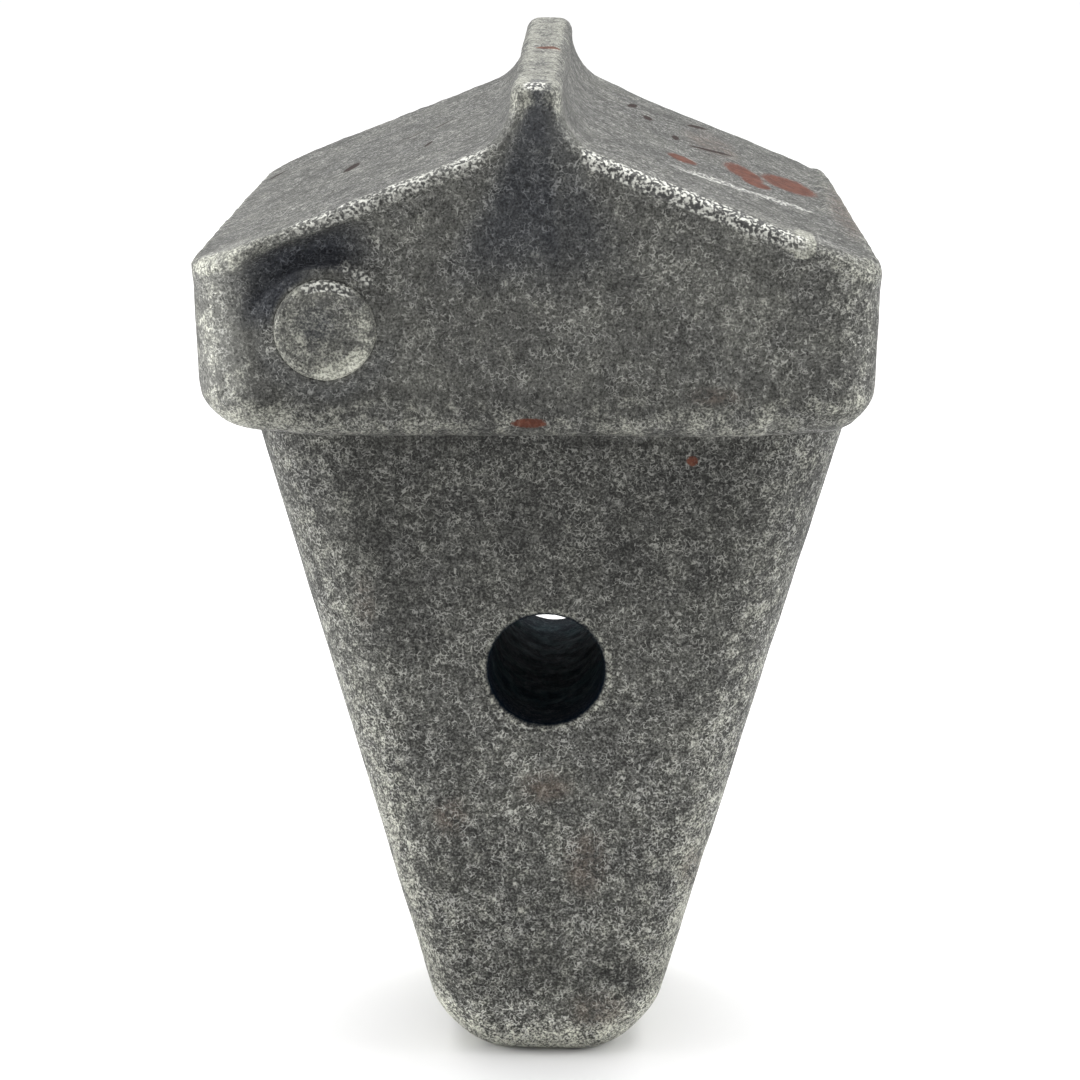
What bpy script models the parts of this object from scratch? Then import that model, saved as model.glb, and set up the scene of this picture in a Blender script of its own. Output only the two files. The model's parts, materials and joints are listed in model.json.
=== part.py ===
"""Weld-on nose for a digger bucket tooth: one steel forging with a round stud pressed into its side.

The nose points down and stands on its tip. X runs across the wedge, Y along the tooth's cross pin and
Z up towards the weld ridge. The origin is the middle of the tip face. Everything is in metres.
"""

import math

import bmesh
import bpy
from mathutils import Vector

MM = 0.001

# The nose: a wedge of rounded rectangles that narrows from the shoulder to a flat tip.
NOSE_LENGTH = 103.4 * MM
NOSE_TIP_HALF_WIDTH = 15.7 * MM
NOSE_TIP_HALF_DEPTH = 25.8 * MM
NOSE_SIDE_TAPER = math.radians(15.95)
NOSE_FACE_TAPER = math.radians(4.0)
NOSE_TIP_CORNER = 9.0 * MM
NOSE_ROOT_CORNER = 15.0 * MM
TIP_EDGE_RADIUS = 6.0 * MM
NOSE_ROOT_INSIDE_BASE = 8.0 * MM

# The base: a block between the shoulder and the weld roof, forged a little off the nose's centre line.
# Its sides lean out upwards and draw in towards the back.
BASE_DEPTH = 88.0 * MM
BASE_CENTRE_X = -1.5 * MM
BASE_HALF_WIDTH_AT_SHOULDER = 50.4 * MM
BASE_HALF_WIDTH_AT_EAVE = 51.2 * MM
BASE_BACK_DRAFT = 5.2 * MM
SHOULDER_CORNER_RADIUS = 8.0 * MM
EAVE_CORNER_RADIUS = 4.0 * MM

# The weld roof: two bevels that meet in a narrow ridge, the root face of the weld.
BEVEL_ANGLE = math.radians(21.7)
BEVEL_APEX_Z = 148.7 * MM
LAND_Z = 155.3 * MM
LAND_CENTRE_X = -1.25 * MM
LAND_HALF_WIDTH = 3.7 * MM
LAND_CORNER_RADIUS = 2.0 * MM
RIDGE_FILLET_RADIUS = 8.0 * MM

# How far each stretch of the base's outline is rounded over towards its front and back faces.
SIDE_EDGE_RADIUS = 4.0 * MM
SHOULDER_EDGE_RADIUS = 4.0 * MM
RIM_EDGE_RADIUS = 2.4 * MM
LAND_EDGE_RADIUS = 1.8 * MM

# The cross hole for the tooth's retaining pin.
PIN_HOLE_DIAMETER = 17.6 * MM
PIN_HOLE_Z = 64.7 * MM

# The stud in the front face of the base, and the blind hole that it is pressed into.
STUD_DIAMETER = 15.0 * MM
STUD_X = -31.75 * MM
STUD_Z = 119.65 * MM
STUD_PROUD = 1.4 * MM
STUD_DEPTH = 7.0 * MM
STUD_DISH_DEPTH = 0.7 * MM
STUD_RIM_RADIUS = 1.0 * MM
FIT_GAP = 0.3 * MM

# How finely arcs, rounded edges, the stud's dish and round holes are divided.
CORNER_STEPS = 6
ROUND_STEPS = 5
DISH_STEPS = 5
HOLE_SIDES = 48
SHARP_ANGLE = math.radians(35)
MERGE_DISTANCE = 0.001 * MM

STEEL_COLOUR = (0.19, 0.19, 0.175, 1.0)
STEEL_ROUGHNESS = 0.62
STUD_COLOUR = (0.24, 0.24, 0.225, 1.0)
STUD_ROUGHNESS = 0.5
METALLIC = 0.8

QUARTER_TURN = math.pi / 2


def clear_scene():
    for old in list(bpy.data.objects):
        bpy.data.objects.remove(old, do_unlink=True)


def steel(name, colour, roughness):
    material = bpy.data.materials.new(name)
    material.use_nodes = True
    shader = material.node_tree.nodes["Principled BSDF"]
    shader.inputs["Base Color"].default_value = colour
    shader.inputs["Metallic"].default_value = METALLIC
    shader.inputs["Roughness"].default_value = roughness
    return material


def add_object(name, mesh_builder, material=None):
    """A named object made of what bmesh holds, with its faces turned outward."""
    bmesh.ops.recalc_face_normals(mesh_builder, faces=mesh_builder.faces)
    mesh = bpy.data.meshes.new(name)
    mesh_builder.to_mesh(mesh)
    mesh_builder.free()
    obj = bpy.data.objects.new(name, mesh)
    bpy.context.scene.collection.objects.link(obj)
    if material:
        mesh.materials.append(material)
    return obj


def loft(name, rings, material=None):
    """A closed solid through rings of equally many points, capped at both ends."""
    builder = bmesh.new()
    loops = [[builder.verts.new(point) for point in ring] for ring in rings]
    count = len(rings[0])
    for lower, upper in zip(loops, loops[1:]):
        for i in range(count):
            j = (i + 1) % count
            builder.faces.new((lower[i], lower[j], upper[j], upper[i]))
    builder.faces.new(loops[0][::-1])
    builder.faces.new(loops[-1])
    return add_object(name, builder, material)


def smooth(obj):
    obj.data.shade_smooth()
    obj.data.set_sharp_from_angle(angle=SHARP_ANGLE)


def boolean(obj, other, operation):
    modifier = obj.modifiers.new(f"{operation.title()} {other.name}", "BOOLEAN")
    modifier.operation = operation
    modifier.solver = "EXACT"
    modifier.object = other
    other.hide_render = True
    other.display_type = "WIRE"


def rounded_rectangle(half_width, half_depth, radius, z):
    """Points of a rounded rectangle in the plane at height z, counter-clockwise from above."""
    points = []
    for quarter in range(4):
        sign_x = 1 if quarter in (0, 3) else -1
        sign_y = 1 if quarter in (0, 1) else -1
        for step in range(CORNER_STEPS + 1):
            angle = QUARTER_TURN * (quarter + step / CORNER_STEPS)
            x = sign_x * (half_width - radius) + radius * math.cos(angle)
            y = sign_y * (half_depth - radius) + radius * math.sin(angle)
            points.append((x, y, z))
    return points


def nose_section(z, inset=0.0):
    """The nose's section at height z, drawn in on all sides by inset."""
    half_width = NOSE_TIP_HALF_WIDTH + z * math.tan(NOSE_SIDE_TAPER) - inset
    half_depth = NOSE_TIP_HALF_DEPTH + z * math.tan(NOSE_FACE_TAPER) - inset
    share = z / NOSE_LENGTH
    radius = NOSE_TIP_CORNER + share * (NOSE_ROOT_CORNER - NOSE_TIP_CORNER) - inset
    return rounded_rectangle(half_width, half_depth, radius, z)


def make_nose():
    rings = []
    for step in range(ROUND_STEPS):
        angle = QUARTER_TURN * step / ROUND_STEPS
        z = TIP_EDGE_RADIUS * (1 - math.cos(angle))
        inset = TIP_EDGE_RADIUS * (1 - math.sin(angle))
        rings.append(nose_section(z, inset))
    top = NOSE_LENGTH + NOSE_ROOT_INSIDE_BASE
    for z in (TIP_EDGE_RADIUS, PIN_HOLE_Z, NOSE_LENGTH, top):
        rings.append(nose_section(z))
    return loft("nose_wedge", rings)


def filleted(corners):
    """A closed outline from (x, z, radius, edge) corners, each turned into an arc.

    Each point comes out as (x, z, inward normal, edge), where edge is how far the outline is rounded
    over there towards the front and back faces.
    """
    outline = []
    count = len(corners)
    for i, (x, z, radius, edge) in enumerate(corners):
        here = Vector((x, z))
        before = (Vector(corners[i - 1][:2]) - here).normalized()
        after = (Vector(corners[(i + 1) % count][:2]) - here).normalized()
        half_angle = before.angle(after) / 2
        centre = here + (before + after).normalized() * (radius / math.sin(half_angle))
        turn = before.cross(after)
        start = here + before * (radius / math.tan(half_angle)) - centre
        sweep = (math.pi - 2 * half_angle) * (-1 if turn > 0 else 1)
        convex = 1 if sweep > 0 else -1
        for step in range(CORNER_STEPS + 1):
            angle = sweep * step / CORNER_STEPS
            spoke = Vector(
                (
                    start.x * math.cos(angle) - start.y * math.sin(angle),
                    start.x * math.sin(angle) + start.y * math.cos(angle),
                )
            )
            point = centre + spoke
            outline.append((point.x, point.y, -convex * spoke.normalized(), edge))
    return outline


def base_outline(draft):
    """The base's section seen from the front, counter-clockwise from the shoulder's right corner.

    draft is how far each side has drawn in at this section.
    """
    slope = math.tan(BEVEL_ANGLE)
    corners = []
    for side in (1, -1):
        shoulder_x = BASE_CENTRE_X + side * (BASE_HALF_WIDTH_AT_SHOULDER - draft)
        eave_x = BASE_CENTRE_X + side * (BASE_HALF_WIDTH_AT_EAVE - draft)
        eave_z = BEVEL_APEX_Z - abs(eave_x - LAND_CENTRE_X) * slope
        land_x = LAND_CENTRE_X + side * LAND_HALF_WIDTH
        root_z = BEVEL_APEX_Z - LAND_HALF_WIDTH * slope
        half = [
            (shoulder_x, NOSE_LENGTH, SHOULDER_CORNER_RADIUS, SHOULDER_EDGE_RADIUS),
            (eave_x, eave_z, EAVE_CORNER_RADIUS, RIM_EDGE_RADIUS),
            (land_x, root_z, RIDGE_FILLET_RADIUS, RIM_EDGE_RADIUS),
            (land_x, LAND_Z, LAND_CORNER_RADIUS, LAND_EDGE_RADIUS),
        ]
        corners += half if side > 0 else reversed(half)
    return with_side_radius(filleted(corners))


def with_side_radius(outline):
    """Lets the rounding grow to the side radius where the outline runs up the base's sides."""
    widened = []
    for x, z, normal, edge in outline:
        share = abs(normal.x) ** 2 if z < BEVEL_APEX_Z - RIDGE_FILLET_RADIUS else 0.0
        widened.append((x, z, normal, edge + share * (SIDE_EDGE_RADIUS - edge)))
    return widened


def base_ring(outline, angle, end):
    """One ring of the base: end is -1 at the front and 1 at the back, angle runs from face to side."""
    ring = []
    for x, z, normal, edge in outline:
        inset = edge * (1 - math.sin(angle))
        y = end * (BASE_DEPTH / 2 - edge * (1 - math.cos(angle)))
        ring.append((x + normal.x * inset, y, z + normal.y * inset))
    return ring


def make_base(material):
    angles = [QUARTER_TURN * step / ROUND_STEPS for step in range(ROUND_STEPS + 1)]
    front_outline = base_outline(0.0)
    back_outline = base_outline(BASE_BACK_DRAFT)
    front = [base_ring(front_outline, angle, -1) for angle in angles]
    back = [base_ring(back_outline, angle, 1) for angle in reversed(angles)]
    return loft("nose_body", front + back, material)


def cylinder_along_y(name, diameter, y_from, y_to, x, z):
    builder = bmesh.new()
    bmesh.ops.create_cone(
        builder,
        cap_ends=True,
        segments=HOLE_SIDES,
        radius1=diameter / 2,
        radius2=diameter / 2,
        depth=y_to - y_from,
    )
    obj = add_object(name, builder)
    obj.rotation_euler = (QUARTER_TURN, 0, 0)
    obj.location = (x, (y_from + y_to) / 2, z)
    return obj


def make_body():
    body = make_base(steel("forged_steel", STEEL_COLOUR, STEEL_ROUGHNESS))
    boolean(body, make_nose(), "UNION")
    pin_hole = cylinder_along_y(
        "pin_hole", PIN_HOLE_DIAMETER, -BASE_DEPTH / 2, BASE_DEPTH / 2, 0.0, PIN_HOLE_Z
    )
    boolean(body, pin_hole, "DIFFERENCE")
    face = -BASE_DEPTH / 2
    socket = cylinder_along_y(
        "stud_socket",
        STUD_DIAMETER + 2 * FIT_GAP,
        face - STUD_DEPTH,
        face + STUD_DEPTH + FIT_GAP,
        STUD_X,
        STUD_Z,
    )
    boolean(body, socket, "DIFFERENCE")
    smooth(body)
    return body


def stud_profile():
    """Half of the stud's section as (radius, height): up the axis of the dish, over the rim, down."""
    radius = STUD_DIAMETER / 2
    rim_centre = radius - STUD_RIM_RADIUS
    profile = [(0.0, STUD_PROUD - STUD_DISH_DEPTH)]
    for step in range(1, DISH_STEPS):
        share = step / DISH_STEPS
        profile.append((rim_centre * share, STUD_PROUD - STUD_DISH_DEPTH * (1 - share**3)))
    for step in range(ROUND_STEPS + 1):
        angle = QUARTER_TURN * (1 - step / ROUND_STEPS)
        out = rim_centre + STUD_RIM_RADIUS * math.cos(angle)
        up = STUD_PROUD - STUD_RIM_RADIUS * (1 - math.sin(angle))
        profile.append((out, up))
    profile.append((radius, -STUD_DEPTH))
    profile.append((0.0, -STUD_DEPTH))
    return profile


def make_stud():
    """The stud, turned about its own axis and set into the front face."""
    builder = bmesh.new()
    points = [builder.verts.new((r, 0, h)) for r, h in stud_profile()]
    edges = [builder.edges.new(pair) for pair in zip(points, points[1:])]
    bmesh.ops.spin(
        builder,
        geom=points + edges,
        cent=(0, 0, 0),
        axis=(0, 0, 1),
        angle=2 * math.pi,
        steps=HOLE_SIDES,
        use_duplicate=False,
    )
    bmesh.ops.remove_doubles(builder, verts=builder.verts, dist=MERGE_DISTANCE)
    stud = add_object("side_stud", builder, steel("stud_steel", STUD_COLOUR, STUD_ROUGHNESS))
    stud.rotation_euler = (QUARTER_TURN, 0, 0)
    stud.location = (STUD_X, -BASE_DEPTH / 2, STUD_Z)
    smooth(stud)
    return stud


clear_scene()
make_body()
make_stud()
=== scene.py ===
"""The looks of a shot-blasted weld-on nose for a bucket tooth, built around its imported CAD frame."""
import json
import math

import bpy
import numpy as np
from mathutils import Euler, Matrix, Vector


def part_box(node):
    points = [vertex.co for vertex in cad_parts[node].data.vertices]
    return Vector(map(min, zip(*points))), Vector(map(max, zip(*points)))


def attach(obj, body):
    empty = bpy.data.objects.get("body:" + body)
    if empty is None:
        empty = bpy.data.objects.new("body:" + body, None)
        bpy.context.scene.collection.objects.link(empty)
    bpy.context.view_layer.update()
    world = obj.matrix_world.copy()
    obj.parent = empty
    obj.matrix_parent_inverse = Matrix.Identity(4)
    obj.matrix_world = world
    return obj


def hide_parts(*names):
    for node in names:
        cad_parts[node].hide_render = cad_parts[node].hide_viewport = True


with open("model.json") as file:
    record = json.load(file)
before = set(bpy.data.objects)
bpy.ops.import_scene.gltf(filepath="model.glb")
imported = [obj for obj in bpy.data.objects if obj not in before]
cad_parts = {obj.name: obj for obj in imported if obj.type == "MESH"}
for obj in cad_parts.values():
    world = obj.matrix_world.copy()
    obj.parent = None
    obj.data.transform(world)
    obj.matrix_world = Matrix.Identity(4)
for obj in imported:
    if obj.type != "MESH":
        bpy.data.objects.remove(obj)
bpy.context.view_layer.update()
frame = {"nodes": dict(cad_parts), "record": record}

# Shapes are worked out in millimetres, and turned into metres when a mesh is written.
MM = 0.001
BODY_LOW, BODY_HIGH = (np.array(corner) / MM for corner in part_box("nose_body"))
STUD_LOW, STUD_HIGH = (np.array(corner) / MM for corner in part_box("side_stud"))
MOUNTS = {m["name"]: np.array(m["pos_m"]) / MM for m in frame["record"]["mounts"]}
PIN_BOX = np.array(frame["record"]["physics"]["openings"][0]["box_m"]) / MM

# Base block and weld roof.
HALF_DEPTH = BODY_HIGH[1]
SHOULDER_Z = MOUNTS["tooth_shoulder_front"][2]
LAND_Z = BODY_HIGH[2]
LAND_X = MOUNTS["weld_land"][0]
LAND_HALF_WIDTH = 3.7
BEVEL_ANGLE = math.radians(21.7)
BEVEL_SLOPE = math.tan(BEVEL_ANGLE)
BEVEL_APEX_Z = (
    MOUNTS["weld_bevel_left"][2] + abs(MOUNTS["weld_bevel_left"][0] - LAND_X) * BEVEL_SLOPE
)
BASE_X = (BODY_LOW[0] + BODY_HIGH[0]) / 2
BASE_HALF_WIDTH = (BODY_HIGH[0] - BODY_LOW[0]) / 2
EAVE_Z = BEVEL_APEX_Z - BASE_HALF_WIDTH * BEVEL_SLOPE
SIDE_LEAN = 0.8
BACK_DRAFT = 5.2

# Nose wedge and pin hole.
TIP_HALF_WIDTH, TIP_HALF_DEPTH = 15.7, 25.8
SIDE_TAPER, FACE_TAPER = math.tan(math.radians(15.95)), math.tan(math.radians(4.0))
NOSE_LEAN = 0.007
PIN_Z = PIN_BOX[:, 2].mean()
PIN_RADIUS = 8.8

# Stud and its seat, which is drawn a little narrower than the stud so that no gap shows round it.
STUD_X, STUD_Z = (STUD_LOW[0] + STUD_HIGH[0]) / 2, (STUD_LOW[2] + STUD_HIGH[2]) / 2
STUD_RADIUS = (STUD_HIGH[0] - STUD_LOW[0]) / 2
STUD_PROUD = -HALF_DEPTH - STUD_LOW[1]
SEAT_INSET = 0.8
SEAT_DEPTH = 7.3

# The pad that the flash trimmer left on the right-hand bevel.
PAD_LEFT_X, PAD_RIGHT_X = 17.5, 42.8
PAD_FRONT_Y, PAD_FRONT_SLOPE = -21.9, 0.37
PAD_CORNER = 12.0
PAD_DEPTH = 0.5

# Radii of the hollow and rounded edges.
RIDGE_FILLET, RIDGE_ROUNDING = 5.0, 2.2
SHOULDER_FILLET = 1.8
BASE_CORNER_RIGHT, BASE_CORNER_LEFT = 8.0, 10.0
RIM_RIGHT, RIM_LEFT, RIM_MORE_IN_FRONT, RIM_MORE_AT_RIDGE = 1.2, 0.6, 1.6, 1.3
LIP_ROUNDING, LIP_MORE_AT_ENDS = 4.0, 4.0
TIP_ROUNDING, TIP_MORE_AT_SIDES = 5.0, 4.0
PIN_EDGE_ROUNDING = 0.45

# The mesh's own fineness, in metres, and the start of every run of random numbers.
VOXEL = 0.00072
SEED = 7

# Camera, in metres and degrees.
CAMERA_PLACE = (0.01326, -0.57194, 0.22317)
CAMERA_LOOKS_DOWN, CAMERA_TURNS_LEFT = 14.3, 1.5
CAMERA_LENS, CAMERA_SENSOR = 123.9, 36.0

# The world's strength from the front (-Y) round to the back.
WORLD_RANGE = {"From Min": -1.0, "From Max": 0.0, "To Min": 0.35, "To Max": 1.25}


# ---------------------------------------------------------------- helpers on arrays of points

def smoothstep(low, high, value):
    share = np.clip((value - low) / (high - low), 0.0, 1.0)
    return share * share * (3.0 - 2.0 * share)


def lattice_noise(points, size, seed):
    """Smooth noise from -1 to 1, with features about size across."""
    lattice = np.random.default_rng(SEED + seed).uniform(-1.0, 1.0, (32, 32, 32))
    scaled = points / size
    cell = np.floor(scaled).astype(int)
    part = scaled - cell
    part = part * part * (3.0 - 2.0 * part)
    total = np.zeros(len(points))
    for corner in range(8):
        step = np.array([corner & 1, corner >> 1 & 1, corner >> 2 & 1])
        weight = np.prod(np.where(step, part, 1.0 - part), axis=1)
        i, j, k = ((cell + step) % 32).T
        total += weight * lattice[i, j, k]
    return total


def rounded_edge(a, b, radius):
    """Where two half-spaces meet, their common part with a rounded outer edge."""
    out = np.hypot(np.maximum(a + radius, 0.0), np.maximum(b + radius, 0.0))
    return np.minimum(np.maximum(a, b), -radius) + out


def filleted_union(a, b, radius):
    """Two solids joined, with a hollow fillet between them."""
    out = np.hypot(np.maximum(radius - a, 0.0), np.maximum(radius - b, 0.0))
    return np.maximum(np.minimum(a, b), radius) - out


# ---------------------------------------------------------------- the forging, as distances in mm

def roof(x, y, z):
    """Distance to the two weld bevels and the ridge between them."""
    run = np.abs(x - LAND_X)
    bevels = (z - BEVEL_APEX_Z + run * BEVEL_SLOPE) * math.cos(BEVEL_ANGLE)
    ridge = rounded_edge(run - LAND_HALF_WIDTH, z - LAND_Z, RIDGE_ROUNDING)
    return filleted_union(bevels, ridge, RIDGE_FILLET)


def pad_inside(x, y):
    """How far a place on the right-hand bevel lies inside the flash-trimmed pad."""
    before = (PAD_FRONT_Y + PAD_FRONT_SLOPE * (x - PAD_LEFT_X) - y) * 0.96
    return -rounded_edge(before, x - PAD_RIGHT_X, PAD_CORNER)


def trimmed_pad(x, y):
    """How deep the flash was trimmed off there."""
    fade = smoothstep(PAD_LEFT_X - 11.0, PAD_LEFT_X, x)
    return PAD_DEPTH * smoothstep(-0.1, 0.6, pad_inside(x, y)) * fade


def scoop(x, z):
    """The deep hollow between the rim and the stud, from 0 to 1."""
    along = (x + 35.2) * 0.95 + (z - 129.6) * 0.30
    across = (z - 129.6) * 0.95 - (x + 35.2) * 0.30 + 0.02 * np.minimum(x + 35.2, 0.0) ** 2
    return np.exp(-((along / 9.2) ** 4) - (across / 3.4) ** 4)


def vee(x, z):
    """The hollow that spreads downwards below the ridge, from 0 to 1."""
    half_width = 2.2 + 0.62 * np.maximum(152.5 - z, 0.0)
    return smoothstep(1.0, 0.45, np.abs(x + 0.45) / half_width) * smoothstep(122.0, 134.0, z)


def front_hollow(x, y, z):
    """How far the front face of the base lies behind its rim and its lower lip."""
    under_rim = -roof(x, y, z)
    above_lip = z - SHOULDER_Z - 4.6 - 0.5 * np.sin(x * 0.21) - 0.4 * np.sin(x * 0.53 + 1.0)
    inside = np.minimum(under_rim - 1.0, above_lip)
    hollow = 1.0 * smoothstep(0.0, 3.0, inside) + 0.7 * vee(x, z) * smoothstep(0.5, 3.0, under_rim)
    hollow += 2.3 * scoop(x, z) * smoothstep(0.6, 2.4, under_rim)
    from_stud = np.hypot(x - STUD_X, z - STUD_Z)
    pad = smoothstep(10.6, 9.2, from_stud)
    hollow += (0.45 - hollow) * pad
    return hollow - 0.4 * smoothstep(8.9, 7.5, from_stud)


CHIPS = (  # x, z, radius, depth of the dents in the front face's edges
    (33.7, 105.0, 1.7, 1.0),
    (37.1, 109.6, 1.1, 0.9),
    (-46.5, 110.2, 1.0, 0.7),
    (8.5, 142.2, 1.2, 0.6),
    (-1.9, 106.6, 2.6, 0.5),
    (28.6, 106.4, 2.4, 0.5),
    (-28.4, 120.0, 0.9, 0.4),
)


def chips(x, z):
    total = np.zeros_like(x)
    for chip_x, chip_z, radius, depth in CHIPS:
        total += depth * np.exp(-((x - chip_x) ** 2 + (z - chip_z) ** 2) / radius**2)
    return total


def base(x, y, z):
    """Distance to the block that carries the weld roof."""
    draft = BACK_DRAFT * (y + HALF_DEPTH) / (2 * HALF_DEPTH)
    lean = SIDE_LEAN * (z - EAVE_Z) / (EAVE_Z - SHOULDER_Z)
    side = np.abs(x - BASE_X) - (BASE_HALF_WIDTH + np.clip(lean, -2.0, 0.0) - draft)
    front = -y - HALF_DEPTH + front_hollow(x, y, z) + chips(x, z)
    back = y - HALF_DEPTH + 0.7 * smoothstep(0.0, 4.0, np.minimum(-roof(x, y, z), z - SHOULDER_Z - 4.0))
    corner = np.where(x > 0.0, BASE_CORNER_RIGHT, BASE_CORNER_LEFT)
    block = rounded_edge(side, np.maximum(front, back), corner)
    near_side = smoothstep(30.0, 44.0, np.abs(x - BASE_X))
    top = roof(x, y, z) + trimmed_pad(x, y)
    rim = np.where(x > 0.0, RIM_RIGHT, RIM_LEFT) + RIM_MORE_IN_FRONT * smoothstep(-34.0, -42.0, y)
    by_ridge = smoothstep(8.0, 5.0, np.abs(x - LAND_X)) * smoothstep(-36.0, -42.0, y)
    block = rounded_edge(block, top, rim + RIM_MORE_AT_RIDGE * by_ridge)
    return rounded_edge(block, SHOULDER_Z - z, LIP_ROUNDING + LIP_MORE_AT_ENDS * near_side)


def nose(x, y, z):
    """Distance to the wedge that the tooth fits over."""
    share = np.clip(z / SHOULDER_Z, 0.0, 1.0)
    corner = 9.0 + 6.0 * share
    half_width = TIP_HALF_WIDTH + z * SIDE_TAPER
    half_depth = TIP_HALF_DEPTH + z * FACE_TAPER
    out_x = np.abs(x - NOSE_LEAN * (z - 50.0)) - (half_width - corner)
    out_y = np.abs(y) - (half_depth - corner)
    around = np.hypot(np.maximum(out_x, 0.0), np.maximum(out_y, 0.0))
    around = (around + np.minimum(np.maximum(out_x, out_y), 0.0) - corner) * 0.97
    rounding = TIP_ROUNDING + TIP_MORE_AT_SIDES * smoothstep(4.0, 16.0, np.abs(x))
    return rounded_edge(around, -z, rounding)


def forging(points):
    """Signed distance to the whole forging, smooth, with its pin hole and stud seat."""
    x, y, z = points.T
    wedge = np.maximum(nose(x, y, z), z - SHOULDER_Z - 8.0)
    solid = filleted_union(base(x, y, z), wedge, SHOULDER_FILLET)
    lumps = 0.22 * lattice_noise(points, 3.2, 3) + 0.12 * lattice_noise(points, 1.5, 4)
    along = (y + TIP_HALF_DEPTH) / (2.0 * TIP_HALF_DEPTH)
    radius = PIN_RADIUS - 0.3 * np.clip(along, 0.0, 1.1)
    off_axis = np.hypot(x, z - PIN_Z)
    pin = off_axis - radius - lumps * smoothstep(3.0, 8.0, -nose(x, y, z))
    solid = rounded_edge(solid, -pin, PIN_EDGE_ROUNDING)
    seat = np.maximum(
        np.hypot(x - STUD_X, z - STUD_Z) - STUD_RADIUS + SEAT_INSET,
        y + HALF_DEPTH - SEAT_DEPTH,
    )
    return np.maximum(solid, -seat)


def gradient(distance, points, step=0.12):
    """The direction in which the distance grows, by differences."""
    slope = np.empty_like(points)
    for axis in range(3):
        shift = np.zeros(3)
        shift[axis] = step
        slope[:, axis] = (distance(points + shift) - distance(points - shift)) / (2 * step)
    return slope


# ---------------------------------------------------------------- meshes

def mesh_arrays(mesh):
    points = np.empty(len(mesh.vertices) * 3)
    mesh.vertices.foreach_get("co", points)
    edges = np.empty(len(mesh.edges) * 2, int)
    mesh.edges.foreach_get("vertices", edges)
    return points.reshape(-1, 3) / MM, edges.reshape(-1, 2)


def write_points(mesh, points):
    mesh.vertices.foreach_set("co", (points * MM).astype(np.float32).ravel())
    mesh.update()


def write_attribute(mesh, name, values):
    layer = mesh.attributes.new(name, "FLOAT", "POINT")
    layer.data.foreach_set("value", values.astype(np.float32))


def remeshed_copy(source, name):
    """An even quad mesh of a CAD node, as a new object."""
    helper = source.copy()
    helper.data = source.data.copy()
    bpy.context.scene.collection.objects.link(helper)
    remesh = helper.modifiers.new("Remesh", "REMESH")
    remesh.mode = "VOXEL"
    remesh.voxel_size = VOXEL
    shape = helper.evaluated_get(bpy.context.evaluated_depsgraph_get())
    mesh = bpy.data.meshes.new_from_object(shape)
    mesh.name = name
    mesh.materials.clear()
    bpy.data.objects.remove(helper, do_unlink=True)
    piece = bpy.data.objects.new(name, mesh)
    bpy.context.scene.collection.objects.link(piece)
    return piece


def neighbour_mean(points, edges):
    total = np.zeros_like(points)
    count = np.zeros(len(points))
    for here, there in ((0, 1), (1, 0)):
        np.add.at(total, edges[:, here], points[edges[:, there]])
        np.add.at(count, edges[:, here], 1.0)
    return total / count[:, None]


def drawn_onto(distance, points, rounds):
    """Moves points along the distance's slope until they lie on its surface."""
    for _ in range(rounds):
        slope = gradient(distance, points)
        size = np.maximum((slope**2).sum(1), 0.2)
        move = -distance(points)[:, None] * slope / size[:, None]
        length = np.linalg.norm(move, axis=1, keepdims=True)
        points = points + move * np.minimum(1.0, 1.2 / np.maximum(length, 1e-6))
    return points


def sharpness(points):
    """How strongly the surface bends outwards, from 0 on a flat face to 1 on an edge."""
    reach = 1.2
    bend = -6.0 * forging(points)
    for axis in range(3):
        shift = np.zeros(3)
        shift[axis] = reach
        bend += forging(points + shift) + forging(points - shift)
    bend /= reach**2
    edge = np.clip(bend * 2.2, 0.0, 1.0)
    from_stud, _ = about_stud(points[:, 0], points[:, 2])
    edge *= np.where(points[:, 1] < -30.0, smoothstep(10.5, 12.0, from_stud), 1.0)
    by_ridge = smoothstep(9.0, 6.0, np.abs(points[:, 0] - LAND_X)) * (points[:, 1] < -38.0)
    return edge * (1.0 - 0.6 * by_ridge)


def relief(points, edge, glint):
    """The height of the forging's unevenness, in mm, which is rougher along worn edges."""
    height = 0.10 * lattice_noise(points, 14.0, 0)
    height += 0.055 * lattice_noise(points, 5.0, 1)
    height += 0.035 * lattice_noise(points, 2.1, 2)
    rough_edge = np.maximum(smoothstep(0.25, 0.8, edge) * 0.6, glint)
    height += rough_edge * 0.17 * lattice_noise(points, 1.5, 5)
    return height * smoothstep(-0.5, 1.0, from_bore(points))


def make_body():
    """The forging: an even mesh of its CAD node, drawn onto the smooth shape and made uneven."""
    body = remeshed_copy(frame["nodes"]["nose_body"], "forged_nose_body")
    mesh = body.data
    points, edges = mesh_arrays(mesh)
    points = drawn_onto(forging, points, 5)
    for _ in range(2):
        points = 0.5 * points + 0.5 * neighbour_mean(points, edges)
        points = drawn_onto(forging, points, 2)

    slope = gradient(forging, points, 0.3)
    normal = slope / np.linalg.norm(slope, axis=1, keepdims=True)
    edge = sharpness(points)
    # shade, glint and tone carry painted shade, painted highlights and painted light and shade into the
    # material.
    shade, glint, bore = painted_shade_places(*points.T), painted_glint_places(points), bore_depth(points)
    pale = worn_places(points) * (1.0 - shade)
    tone, grit = painted_light_factor(points), contrast(points)
    points = points + normal * relief(points, edge, glint)[:, None]
    points = np.clip(points, BODY_LOW, BODY_HIGH)
    write_points(mesh, points)
    for name, values in (
        ("edge", edge), ("bore", bore), ("shade", shade), ("pale", pale), ("glint", glint),
        ("tone", tone), ("grit", grit),
    ):
        write_attribute(mesh, name, values)
    mesh.shade_smooth()
    return body


def from_bore(points):
    """Distance from the pin hole's wall, below zero inside the hole."""
    x, _, z = points.T
    return np.hypot(x, z - PIN_Z) - PIN_RADIUS - 0.6


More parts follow.
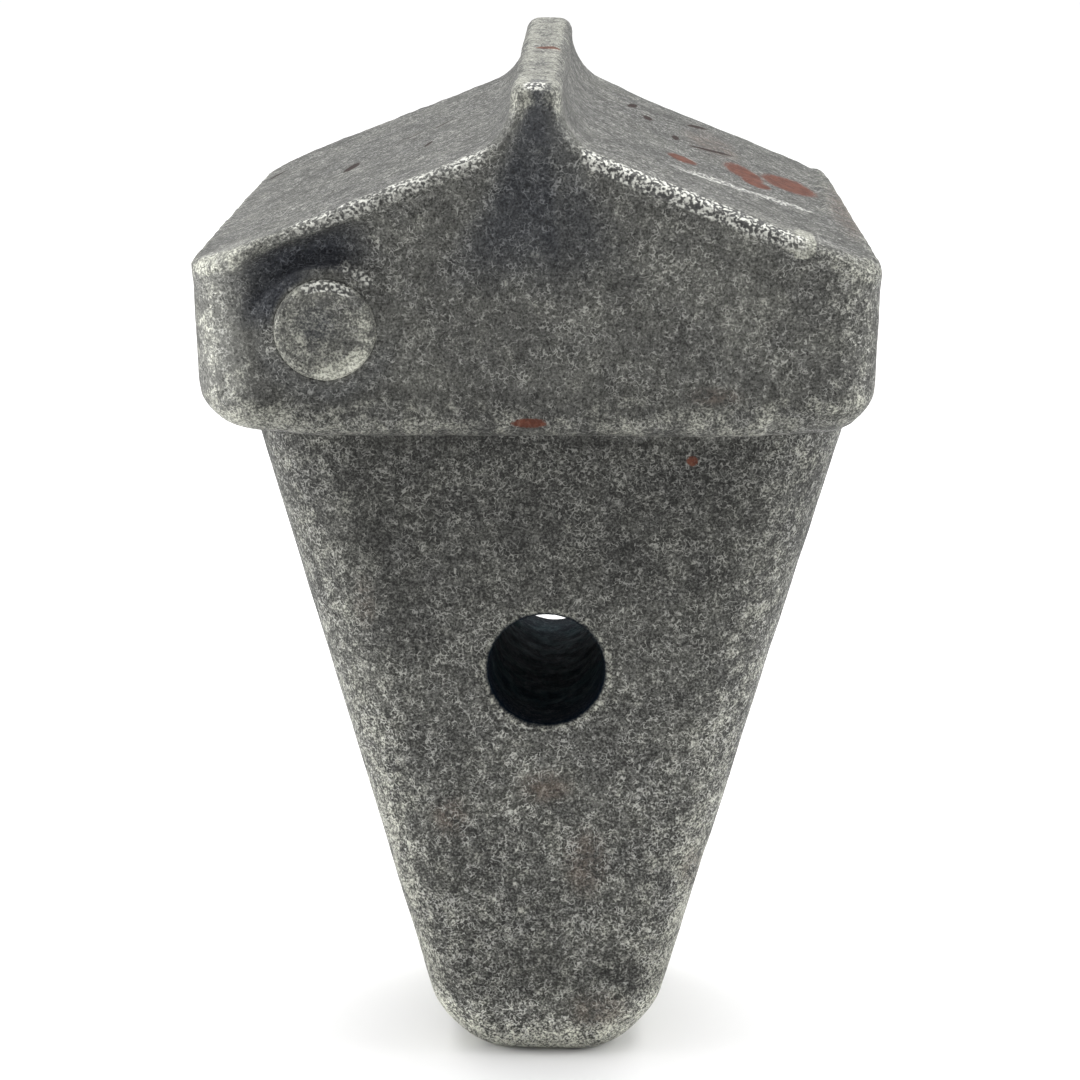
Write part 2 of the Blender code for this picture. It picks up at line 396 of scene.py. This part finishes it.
def by_face(y, z):
    """Down to a half on the nose's narrow sides, away from its broad faces."""
    return 0.5 + 0.5 * smoothstep(14.0, 6.0, TIP_HALF_DEPTH + z * FACE_TAPER - np.abs(y))


def painted_light_factor(points):
    """Painted light and shade, as a factor on the steel's colour: the nose darker in the shade under
    the base and lighter towards the tip, its narrow sides and the base's left end lighter where side
    light falls, and the lip a little darker.
    """
    x, y, z = points.T
    # Painted shade under the base's overhang, fading towards the tip.
    nose_tone = 0.72 + 0.64 * smoothstep(92.0, 42.0, z) - 0.15 * smoothstep(20.0, 13.0, z)
    nose_tone += 1.0 * smoothstep(11.5, 8.0, z) - 0.3 * smoothstep(5.0, 2.0, z)
    beside = smoothstep(0.65, 0.9, np.abs(x) / (TIP_HALF_WIDTH + z * SIDE_TAPER)) * by_face(y, z)
    # Painted side light on the nose's narrow sides, more on the left.
    nose_tone *= 1.0 + beside * (0.3 * smoothstep(50.0, 75.0, z) + np.where(x > 0.0, 0.0, 0.15))
    front = smoothstep(-34.0, -40.0, y)
    # Painted side light at the left end of the base's front.
    ends = 0.72 * smoothstep(-41.0, -46.5, x) + 0.14 * smoothstep(8.0, 25.0, x)
    lip = smoothstep(6.0, 4.0, z - SHOULDER_Z) * np.where(x > 10.0, 0.05, 0.2)
    base_tone = 0.96 - 0.08 * smoothstep(5.0, 15.0, x) + front * (0.14 + ends - lip)
    return np.where(z < SHOULDER_Z, nose_tone, base_tone)


def contrast(points):
    """How strongly the grain stands out there."""
    x, y, z = points.T
    on_nose = 1.35 + 0.15 * smoothstep(70.0, 30.0, z)
    front = smoothstep(-34.0, -42.0, y)
    on_base = 1.3 - 0.25 * front - 0.45 * smoothstep(-40.0, -46.0, x)
    on_base -= 0.5 * front * smoothstep(9.0, 5.0, np.abs(x - LAND_X)) * smoothstep(143.0, 149.0, z)
    return np.where(z < SHOULDER_Z, on_nose, on_base)


def about_stud(x, z):
    """Distance from the stud's middle, and the direction from it in degrees."""
    return np.hypot(x - STUD_X, z - STUD_Z), np.degrees(np.arctan2(z - STUD_Z, x - STUD_X))


def painted_shade_places(x, y, z):
    """Painted shade, where shadow falls: the hollows of the front face and beside the stud."""
    front = smoothstep(-34.0, -40.0, y)
    from_stud, turn = about_stud(x, z)
    shade = 0.9 * front * scoop(x, z) * smoothstep(8.2, 9.6, from_stud)
    under_stud = smoothstep(3.0, 0.0, np.abs(from_stud - 9.2)) * smoothstep(2.0, -6.0, z - STUD_Z)
    shade = np.maximum(shade, 0.3 * front * under_stud)
    crook = smoothstep(55.0, 15.0, np.abs(turn - 140.0)) * smoothstep(14.5, 10.5, from_stud)
    shade = np.maximum(shade, 0.85 * front * crook * smoothstep(7.4, 8.4, from_stud))
    left_of_ridge = smoothstep(2.0, -1.0, x - 0.1 * (LAND_Z - z))
    shade = np.maximum(shade, 0.7 * front * vee(x, z) * left_of_ridge)
    return np.maximum(shade, 0.5 * front * vee(x, z))


def bore_depth(points):
    """From 0 outside the pin hole to 1 at its ends and 2 in its middle; it sets the painted shade and
    painted light inside the hole.
    """
    _, y, _ = points.T
    middle = smoothstep(-30.0, -12.0, y) * smoothstep(32.0, 16.0, y)
    return smoothstep(0.2, -0.7, from_bore(points)) * (1.0 + middle)


def worn_places(points):
    """Where handling and wear left the steel pale: the tip, the edges, the lip and the land."""
    x, y, z = points.T
    front = smoothstep(-34.0, -40.0, y)
    cloud = lattice_noise(points, 9.0, 20)
    on_nose = smoothstep(SHOULDER_Z + 1.0, SHOULDER_Z - 1.0, z)
    half_width = TIP_HALF_WIDTH + z * SIDE_TAPER
    beside = smoothstep(0.60, 0.95, np.abs(x) / half_width + 0.07 * cloud) * by_face(y, z)
    low = smoothstep(70.0, 20.0, z)
    pale = on_nose * np.maximum(beside * (0.30 + 0.30 * low), 0.18 * low)
    pale = np.maximum(pale, on_nose * smoothstep(11.0, 2.0, z) * 0.55)
    bore_rim = smoothstep(2.2, 0.4, np.abs(from_bore(points)))
    pale = np.maximum(pale, 0.3 * bore_rim * on_nose)
    lip = smoothstep(6.0, 3.0, z - SHOULDER_Z) * (1.0 - on_nose)
    lip_corner = smoothstep(16.0, 4.0, np.hypot(x + 45.9, (z - 106.0) * 1.6))
    pale = np.maximum(pale, lip * front * (0.2 + 0.4 * lip_corner))
    side = smoothstep(38.0, 47.0, np.abs(x - BASE_X)) * (1.0 - on_nose)
    pale = np.maximum(pale, side * 0.15)
    land = smoothstep(0.6, 0.0, np.abs(z - LAND_Z))
    land *= smoothstep(LAND_HALF_WIDTH + 1.0, 2.0, np.abs(x - LAND_X))
    brow = smoothstep(7.0, 4.5, np.abs(x - LAND_X)) * smoothstep(149.5, 152.5, z)
    brow *= smoothstep(-34.0, -39.0, y)
    pale = np.maximum(pale, 0.6 * land + 0.5 * brow)
    spot = smoothstep(2.0, 1.4, np.hypot(x - 37.3, z - 132.2))
    return np.maximum(pale, 2.2 * spot * front)


def painted_glint_places(points):
    """Painted highlights where bare metal catches the light: the front rim, the pad's edge, the ridge's
    brow and over the stud.
    """
    x, y, z = points.T
    front = smoothstep(-34.0, -40.0, y)
    from_stud, turn = about_stud(x, z)
    rim = smoothstep(3.1, 1.0, np.abs(roof(x, y, z) + 0.4)) * smoothstep(-40.6, -42.4, y)
    rim *= np.where(x > 0.0, 1.0, 0.62) * (1.0 - 0.75 * smoothstep(30.0, 46.0, np.abs(x - BASE_X)))
    rim *= smoothstep(5.0, 8.0, np.abs(x - LAND_X))
    on_bevel_top = smoothstep(3.0, 1.0, np.abs(roof(x, y, z)))
    line = smoothstep(3.4, 1.8, np.abs(pad_inside(x, y) + 1.6)) * on_bevel_top
    line *= smoothstep(-0.5, 0.2, lattice_noise(points, 2.6, 22))
    line *= smoothstep(12.0, 24.0, x) * (1.0 - 0.8 * smoothstep(-14.0, -6.0, y))
    off_crown = ((x + 1.4) / 1.8) ** 2 + ((y + 41.8) / 1.8) ** 2
    crown = np.exp(-off_crown - ((z - LAND_Z + 0.3) / 1.0) ** 2)
    arc = smoothstep(1.3, 0.4, np.abs(from_stud - 9.6)) * smoothstep(30.0, 12.0, np.abs(turn - 60.0))
    glint = np.maximum.reduce([rim, 0.85 * line, 1.2 * crown, 0.7 * arc * front])
    return np.clip(glint, 0.0, 1.0)


def stud_height(radius, angle):
    """The stud's top, above the base's front face, at polar places."""
    rim = STUD_RADIUS - 1.2
    dish = 1.15 * (1.0 - np.clip(radius / rim, 0.0, 1.0) ** 2.4)
    tilt = 0.25 * (radius / STUD_RADIUS) * np.sin(angle - 0.6)
    fall = np.clip((radius - rim) / 1.2, 0.0, 1.0)
    shoulder = 1.2 * (1.0 - np.sqrt(np.maximum(1.0 - fall**2, 0.0)))
    return STUD_PROUD - 0.25 - dish + tilt - shoulder


STUD_SIDES = 120
STUD_RINGS_ON_TOP = 34


def stud_rings():
    """The stud's points about its own axis, ring by ring from its middle out and down its side."""
    angles = 2 * math.pi * np.arange(STUD_SIDES) / STUD_SIDES
    depth = STUD_HIGH[1] + HALF_DEPTH
    rings = []
    for step in range(1, STUD_RINGS_ON_TOP + 1):
        radius = STUD_RADIUS * (step / STUD_RINGS_ON_TOP) ** 0.8
        rings.append((radius, stud_height(np.full(STUD_SIDES, radius), angles)))
    for share in (0.15, 0.35, 0.7, 1.0):
        rings.append((STUD_RADIUS, np.full(STUD_SIDES, -share * depth)))
    rows = [
        np.stack([radius * np.cos(angles), -height, radius * np.sin(angles)], axis=1)
        for radius, height in rings
    ]
    top = np.array([[0.0, -stud_height(np.zeros(1), np.zeros(1))[0], 0.0]])
    bottom = np.array([[0.0, depth, 0.0]])
    return np.concatenate([top, *rows, bottom]), len(rings)


def stud_faces(ring_count):
    """A fan of triangles on the top and the bottom, with bands of quads between them."""
    faces = [(0, 1 + i, 1 + (i + 1) % STUD_SIDES) for i in range(STUD_SIDES)]
    for ring in range(ring_count - 1):
        start = 1 + ring * STUD_SIDES
        below = start + STUD_SIDES
        for i in range(STUD_SIDES):
            j = (i + 1) % STUD_SIDES
            faces.append((start + i, below + i, below + j, start + j))
    last = 1 + (ring_count - 1) * STUD_SIDES
    bottom = last + STUD_SIDES
    faces += [(last + i, bottom, last + (i + 1) % STUD_SIDES) for i in range(STUD_SIDES)]
    return faces


def make_stud():
    """The dished stud, pressed into its seat, with a crescent that is partly wear and partly painted
    highlight, painted shade in its dish's middle and a painted highlight on its crown.
    """
    points, ring_count = stud_rings()
    out = np.hypot(points[:, 0], points[:, 2])
    rim = smoothstep(STUD_RADIUS - 2.4, STUD_RADIUS - 0.8, out)
    lumps = 0.09 * lattice_noise(points, 1.9, 11) + 0.06 * lattice_noise(points, 0.9, 12)
    shown = points[:, 1] < 0.5
    points[:, 1] -= lumps * shown
    worn = 1.0 - 0.02 * (0.5 + 0.5 * lattice_noise(points, 4.0, 13)) * rim
    points[:, 0] *= worn
    points[:, 2] *= worn
    points += np.array([STUD_X, -HALF_DEPTH, STUD_Z])
    points[:, 1] = np.clip(points[:, 1], STUD_LOW[1], STUD_HIGH[1])
    mesh = bpy.data.meshes.new("pressed_in_stud")
    mesh.from_pydata((points * MM).tolist(), [], stud_faces(ring_count))
    mesh.update()
    _, turn = about_stud(points[:, 0], points[:, 2])
    # The crescent low on the dish is partly wear and partly a painted highlight where the dish faces
    # up.
    crescent = smoothstep(46.0, 24.0, np.abs(turn + 64.0)) * smoothstep(4.6, 5.6, out)
    # Painted highlight along the crown of the stud.
    crown = smoothstep(50.0, 20.0, np.abs(turn - 85.0)) * smoothstep(5.6, 6.2, out)
    # Painted shade in the middle of the dish.
    middle = smoothstep(4.2, 1.2, np.hypot(points[:, 0] - STUD_X + 1.3, points[:, 2] - STUD_Z - 0.8))
    none = np.zeros(len(points))
    for name, values in (
        ("edge", 0.3 * rim), ("bore", none), ("shade", 0.55 * middle), ("pale", 0.45 + 1.6 * crescent),
        ("glint", 0.95 * crown * shown), ("tone", 1.15 + 0.5 * crescent), ("grit", 0.75 + none),
    ):
        write_attribute(mesh, name, values)
    mesh.shade_smooth()
    piece = bpy.data.objects.new("pressed_in_stud", mesh)
    bpy.context.scene.collection.objects.link(piece)
    return piece


# ---------------------------------------------------------------- materials

class Nodes:
    """Short calls for building one material's node tree."""

    def __init__(self, name):
        self.material = bpy.data.materials.new(name)
        self.material.use_nodes = True
        self.tree = self.material.node_tree
        self.shader = self.tree.nodes["Principled BSDF"]
        self.place = self.tree.nodes.new("ShaderNodeTexCoord").outputs["Object"]

    def link(self, source, socket):
        if hasattr(source, "is_output"):
            self.tree.links.new(source, socket)
        else:
            socket.default_value = source

    def attribute(self, name):
        node = self.tree.nodes.new("ShaderNodeAttribute")
        node.attribute_name = name
        return node.outputs["Fac"]

    def noise(self, size, detail=2.0, roughness=0.5, place=None):
        """Noise from 0 to 1 with features about size millimetres across."""
        node = self.tree.nodes.new("ShaderNodeTexNoise")
        self.link(place or self.place, node.inputs["Vector"])
        node.inputs["Scale"].default_value = 1.0 / (size * MM)
        node.inputs["Detail"].default_value = detail
        node.inputs["Roughness"].default_value = roughness
        return node.outputs["Fac"]

    def jittered(self, size, reach):
        """Object coordinates pushed about by noise, so that no pattern stays regular."""
        jitter = self.tree.nodes.new("ShaderNodeTexNoise")
        self.link(self.place, jitter.inputs["Vector"])
        jitter.inputs["Scale"].default_value = 1.0 / (size * MM)
        moved = self.tree.nodes.new("ShaderNodeVectorMath")
        moved.operation = "MULTIPLY_ADD"
        self.link(jitter.outputs["Color"], moved.inputs[0])
        moved.inputs[1].default_value = (reach * MM,) * 3
        self.link(self.place, moved.inputs[2])
        return moved.outputs[0]

    def ridges(self, size, detail, place, width):
        """Thin winding crests, 1 on a crest and 0 away from it."""
        level = self.noise(size, detail, 0.55, place)
        away = self.math("ABSOLUTE", self.math("SUBTRACT", level, 0.5))
        return self.ramp(away, width, 0.0)

    def math(self, operation, a, b=0.0, clamp=False):
        node = self.tree.nodes.new("ShaderNodeMath")
        node.operation = operation
        node.use_clamp = clamp
        self.link(a, node.inputs[0])
        self.link(b, node.inputs[1])
        return node.outputs[0]

    def total(self, *terms):
        """A weighted sum of (value, weight) pairs."""
        result = None
        for value, weight in terms:
            part = self.math("MULTIPLY", value, weight)
            result = part if result is None else self.math("ADD", result, part)
        return result

    def ramp(self, value, low, high, out_low=0.0, out_high=1.0, smooth=True):
        node = self.tree.nodes.new("ShaderNodeMapRange")
        node.interpolation_type = "SMOOTHSTEP" if smooth else "LINEAR"
        self.link(value, node.inputs["Value"])
        for socket, number in (
            ("From Min", low), ("From Max", high), ("To Min", out_low), ("To Max", out_high),
        ):
            node.inputs[socket].default_value = number
        return node.outputs["Result"]

    def mix(self, share, a, b, blend="MIX"):
        node = self.tree.nodes.new("ShaderNodeMix")
        node.data_type = "RGBA"
        node.blend_type = blend
        self.link(share, node.inputs[0])
        self.link(a, node.inputs[6])
        self.link(b, node.inputs[7])
        return node.outputs[2]

    def bump(self, height, strength, distance, normal=None):
        node = self.tree.nodes.new("ShaderNodeBump")
        node.inputs["Strength"].default_value = strength
        node.inputs["Distance"].default_value = distance * MM
        self.link(height, node.inputs["Height"])
        if normal is not None:
            self.link(normal, node.inputs["Normal"])
        return node.outputs["Normal"]

    def streak(self, centre, turn, half_sizes):
        """Distance from an ellipsoid's middle, 1 on its surface, in mm about a place on the part."""
        node = self.tree.nodes.new("ShaderNodeMapping")
        node.vector_type = "TEXTURE"
        self.link(self.place, node.inputs["Vector"])
        node.inputs["Location"].default_value = [c * MM for c in centre]
        tilt, swing = (math.radians(angle) for angle in turn)
        turned = Matrix.Rotation(tilt, 3, "Y") @ Matrix.Rotation(swing, 3, "Z")
        node.inputs["Rotation"].default_value = turned.to_euler()
        node.inputs["Scale"].default_value = [s * MM for s in half_sizes]
        length = self.tree.nodes.new("ShaderNodeVectorMath")
        length.operation = "LENGTH"
        self.link(node.outputs["Vector"], length.inputs[0])
        return length.outputs["Value"]

    def nearest(self, ellipsoids):
        """How near the closest of several ellipsoids is, 0 at a middle and 1 on a surface."""
        result = None
        for centre, turn, half_sizes in ellipsoids:
            distance = self.streak(centre, turn, half_sizes)
            result = distance if result is None else self.math("MINIMUM", result, distance)
        return result


def grey(value, warm=0.0):
    """The steel's grey, from 0 to 255 on a display; warm turns it from bluish to beige."""
    shifts = (0.6 * warm, 0.7 * warm, -1.8 * warm)
    linear = [(max(value + shift, 0.0) / 255.0) ** 2.2 for shift in shifts]
    return (*linear, 1.0)


def rgb(red, green, blue):
    return tuple((channel / 255.0) ** 2.2 for channel in (red, green, blue)) + (1.0,)


def on_bevel(x, y):
    """The point of the weld bevel above a place on the plan."""
    return (x, y, BEVEL_APEX_Z - abs(x - LAND_X) * BEVEL_SLOPE)


METALLIC = 0.6
MARK_REACH = 2.0
RED_MARKS = (  # centre, turn about Y, then Z, and half sizes of red scale left in shallow marks
    (on_bevel(30.1, 2.4), 21.7, 7.0, (3.4, 6.4, MARK_REACH)),
    (on_bevel(31.8, -4.0), 21.7, -24.0, (2.4, 3.0, MARK_REACH)),
    (on_bevel(37.4, 8.8), 21.7, -17.0, (4.5, 7.6, MARK_REACH)),
    (on_bevel(20.4, -8.8), 21.7, -9.0, (2.5, 3.4, MARK_REACH)),
    ((-0.4, 1.5, LAND_Z), 0.0, 0.0, (1.9, 1.4, MARK_REACH)),
    ((-2.2, -HALF_DEPTH, 105.9), 0.0, 0.0, (2.6, MARK_REACH, 0.8)),
    ((21.8, -32.6, 97.9), 0.0, 0.0, (0.9, 3.0, 0.8)),
)
DARK_MARKS = (  # the same for small dark cuts
    (on_bevel(12.6, 26.4), 21.7, -13.0, (0.6, 3.4, MARK_REACH)),
    (on_bevel(15.1, 20.4), 21.7, -4.0, (0.8, 2.2, MARK_REACH)),
    (on_bevel(19.5, 11.2), 21.7, -3.0, (0.7, 2.3, MARK_REACH)),
    (on_bevel(25.2, 12.5), 21.7, -45.0, (0.7, 6.0, MARK_REACH)),
    (on_bevel(23.3, 33.9), 21.7, -33.0, (0.9, 3.3, MARK_REACH)),
    (on_bevel(-30.8, -1.4), -21.7, -14.0, (1.2, 3.2, MARK_REACH)),
    (on_bevel(-21.7, 8.4), -21.7, -41.0, (0.4, 2.2, MARK_REACH)),
    (on_bevel(-17.0, 8.5), -21.7, -41.0, (0.5, 2.6, MARK_REACH)),
    (on_bevel(-18.4, -9.9), -21.7, -14.0, (0.5, 1.8, MARK_REACH)),
    (on_bevel(-45.2, 28.8), -21.7, -33.0, (0.5, 2.5, MARK_REACH)),
)
BROWN_FOGS = (  # centre and half sizes of faint brown stains
    (on_bevel(25.4, 20.0), (6.0, 16.0, 5.0)),
    (on_bevel(45.6, 0.0), (3.5, 30.0, 6.0)),
    ((24.8, -HALF_DEPTH, 110.0), (5.0, 4.0, 1.6)),
    ((-14.7, -29.0, 40.6), (3.5, 6.0, 4.5)),
    ((-0.2, -29.0, 45.5), (5.0, 6.0, 3.5)),
    ((6.0, -28.0, 33.0), (4.0, 6.0, 7.0)),
    ((22.2, -20.0, 31.0), (2.5, 9.0, 5.0)),
    ((-27.4, -26.0, 75.5), (2.5, 8.0, 6.0)),
    ((8.0, -27.0, 8.0), (6.0, 6.0, 4.0)),
)


def steel(name, marked_up):
    """Blasted steel: wispy grain, cloudy tone, paler worn places and marks of red scale, with painted
    shade, painted highlights and painted light and shade from the mesh's attributes.
    """
    n = Nodes(name)
    place = n.jittered(1.1, 0.45)
    grain = n.noise(0.36, 2.0, 0.65, place)
    threads = n.ridges(0.85, 1.0, place, 0.06)
    sparse = n.total((n.noise(1.3, 2.0, 0.6), 0.6), (n.noise(6.0, 3.0, 0.6), 0.4))
    wisps = n.math("MULTIPLY", threads, n.ramp(sparse, 0.44, 0.6))
    lumps = n.noise(1.4, 3.0, 0.6, place)
    coarse = n.noise(3.4, 4.0, 0.62)
    cloud = n.noise(11.0, 4.0, 0.6)
    shade, pale, glint, edge, bore, painted_light, grit = (
        n.attribute(name) for name in ("shade", "pale", "glint", "edge", "bore", "tone", "grit")
    )

    height = n.total((grain, 0.60), (lumps, 0.28), (wisps, 0.42))
    light = n.math("SUBTRACT", n.ramp(height, 0.30, 0.86, smooth=False), 0.42)
    light = n.math("ADD", n.math("MULTIPLY", light, grit), 0.42, clamp=True)
    tone = n.total((cloud, 0.55), (coarse, 0.45))
    patch = n.ramp(tone, 0.38, 0.66)
    dark = n.mix(patch, grey(40, 0.6), grey(54, 1.2))
    crests = n.mix(patch, grey(126, 1.5), grey(148, 2.5))
    colour = n.mix(light, dark, crests)
    # Painted shade: darker, bluish steel where the shade attribute is high.
    painted_shade_colour = n.mix(light, rgb(18, 22, 31), rgb(74, 77, 84))
    colour = n.mix(shade, colour, painted_shade_colour)

    pits = n.ramp(n.noise(0.48, 1.0, 0.5, place), 0.40, 0.30)
    colour = n.mix(n.math("MULTIPLY", pits, 0.6), colour, grey(22, 0.0))

    flecks = n.total((coarse, 0.35), (lumps, 0.35), (grain, 0.35))
    reach = n.total((pale, 0.24), (edge, 0.10))
    worn = n.ramp(n.total((flecks, 1.0), (reach, 1.0)), 0.58, 0.80)
    beige = n.mix(n.ramp(grain, 0.35, 0.62), grey(96, 2.5), grey(168, 4.5))
    worn = n.math("MULTIPLY", worn, n.ramp(shade, 0.0, 1.0, 0.7, 0.1))
    colour = n.mix(worn, colour, beige)
    # Painted light and shade: the colour multiplied by the tone attribute.
    colour = n.mix(1.0, colour, painted_light, "MULTIPLY")

    # Painted highlights: bright and dark specks where the glint attribute is high.
    facet = n.ramp(n.noise(0.5, 1.0, 0.5, place), 0.42, 0.64)
    painted_sparkle = n.mix(facet, grey(64, 0.0), grey(198, 3.0))
    shown = n.ramp(n.total((glint, 0.5), (coarse, 0.35), (lumps, 0.35)), 0.52, 0.74)
    glinting = n.math("MULTIPLY", n.math("MULTIPLY", shown, n.ramp(glint, 0.05, 0.5)), 0.85)
    colour = n.mix(glinting, colour, painted_sparkle)
    # Painted shade in the pin hole, near-black blue at its ends, with painted light making its middle
    # paler.
    colour = n.mix(n.ramp(bore, 0.0, 0.9), colour, rgb(8, 20, 30))
    deep = n.mix(n.ramp(coarse, 0.4, 0.62), rgb(18, 36, 48), rgb(58, 78, 84))
    colour = n.mix(n.ramp(bore, 1.0, 2.0), colour, deep)

    dull = n.ramp(height, 0.6, 0.42)
    scale = 0.0
    if marked_up:
        stain = n.nearest([(centre, (0.0, 0.0), size) for centre, size in BROWN_FOGS])
        stained = n.math("MULTIPLY", n.ramp(stain, 1.1, 0.3), n.ramp(flecks, 0.42, 0.62))
        colour = n.mix(n.math("MULTIPLY", stained, 0.5), colour, rgb(86, 68, 58))
        roughened = n.total((coarse, 0.5), (grain, 0.5))
        scales = []
        for marks in (RED_MARKS, DARK_MARKS):
            marked = n.nearest([(c, (y_turn, z_turn), s) for c, y_turn, z_turn, s in marks])
            scales.append(n.ramp(n.math("ADD", marked, roughened), 1.66, 1.34))
        red = n.mix(n.ramp(lumps, 0.35, 0.62), rgb(72, 40, 30), rgb(94, 55, 42))
        colour = n.mix(n.math("MULTIPLY", scales[0], 0.88), colour, red)
        colour = n.mix(n.math("MULTIPLY", scales[1], 0.95), colour, rgb(34, 20, 16))
        scale = n.math("MAXIMUM", scales[0], scales[1])
        dull = n.math("MAXIMUM", scale, dull)
        n.link(n.ramp(scale, 0.0, 1.0, METALLIC, 0.0), n.shader.inputs["Metallic"])
    else:
        n.shader.inputs["Metallic"].default_value = METALLIC

    n.link(colour, n.shader.inputs["Base Color"])
    rough = n.total((dull, 0.22), (glinting, -0.16), (bore, 0.15), (1.0, 0.5))
    n.link(rough, n.shader.inputs["Roughness"])
    matt = n.math("MAXIMUM", bore, scale)
    n.link(n.ramp(matt, 0.0, 1.0, 0.5, 0.12), n.shader.inputs["Specular IOR Level"])
    fine = n.bump(height, 0.6, 0.16)
    n.link(n.bump(lumps, 0.5, 0.3, fine), n.shader.inputs["Normal"])
    return n.material


def plain(name, colour, roughness):
    """The floor's own smooth paint, with a barely visible unevenness."""
    n = Nodes(name)
    tone = n.noise(400.0, 2.0)
    n.link(n.mix(n.ramp(tone, 0.3, 0.7), colour, tuple(c * 0.985 for c in colour[:3]) + (1.0,)),
           n.shader.inputs["Base Color"])
    n.shader.inputs["Roughness"].default_value = roughness
    return n.material


# ---------------------------------------------------------------- camera, floor and light

def add_camera():
    """A long lens a little over half a metre away, looking down at the nose."""
    data = bpy.data.cameras.new("camera")
    data.lens = CAMERA_LENS
    data.sensor_width = CAMERA_SENSOR
    data.clip_start, data.clip_end = 0.02, 50.0
    camera = bpy.data.objects.new("camera", data)
    camera.location = CAMERA_PLACE
    camera.rotation_euler = Euler(
        (math.radians(90 - CAMERA_LOOKS_DOWN), 0.0, math.radians(CAMERA_TURNS_LEFT))
    )
    bpy.context.scene.collection.objects.link(camera)
    bpy.context.scene.camera = camera


def add_floor():
    """A pale floor, twelve metres square."""
    half = 6.0
    mesh = bpy.data.meshes.new("studio_floor")
    mesh.from_pydata(
        [(-half, -half, 0), (half, -half, 0), (half, half, 0), (-half, half, 0)], [], [(0, 1, 2, 3)]
    )
    floor = bpy.data.objects.new("studio_floor", mesh)
    floor.data.materials.append(plain("pale_floor", (0.86, 0.86, 0.86, 1.0), 0.9))
    bpy.context.scene.collection.objects.link(floor)


def add_softbox(name, place, target, size, power):
    data = bpy.data.lights.new(name, "AREA")
    data.shape = "RECTANGLE"
    data.size, data.size_y = size
    data.energy = power
    light = bpy.data.objects.new(name, data)
    light.location = place
    light.rotation_euler = (Vector(target) - Vector(place)).to_track_quat("-Z", "Y").to_euler()
    bpy.context.scene.collection.objects.link(light)


def add_lights():
    """Soft light all round, dimmer from the front, and a large softbox overhead."""
    world = bpy.data.worlds.new("studio")
    world.use_nodes = True
    tree = world.node_tree
    place = tree.nodes.new("ShaderNodeTexCoord")
    parts = tree.nodes.new("ShaderNodeSeparateXYZ")
    tree.links.new(place.outputs["Generated"], parts.inputs[0])
    dim = tree.nodes.new("ShaderNodeMapRange")
    dim.interpolation_type = "SMOOTHSTEP"
    for socket, number in WORLD_RANGE.items():
        dim.inputs[socket].default_value = number
    tree.links.new(parts.outputs["Y"], dim.inputs["Value"])
    tree.links.new(dim.outputs["Result"], tree.nodes["Background"].inputs["Strength"])
    tree.nodes["Background"].inputs["Color"].default_value = (1.0, 1.0, 1.0, 1.0)
    bpy.context.scene.world = world
    middle = (0.0, 0.0, 0.09)
    add_softbox("overhead_softbox", (0.0, 0.25, 1.0), middle, (1.2, 0.9), 11.0)
    add_softbox("left_softbox", (-0.9, -0.1, 0.15), middle, (0.5, 0.7), 7.0)
    add_softbox("right_softbox", (0.9, -0.05, 0.3), middle, (0.5, 0.7), 5.0)


def main():
    body = make_body()
    body.data.materials.append(steel("blasted_forging", True))
    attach(body, "root")
    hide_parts("nose_body")
    stud = make_stud()
    stud.data.materials.append(steel("blasted_stud", False))
    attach(stud, "root")
    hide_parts("side_stud")
    add_camera()
    add_floor()
    add_lights()
    bpy.context.scene.view_settings.view_transform = "Standard"


main()
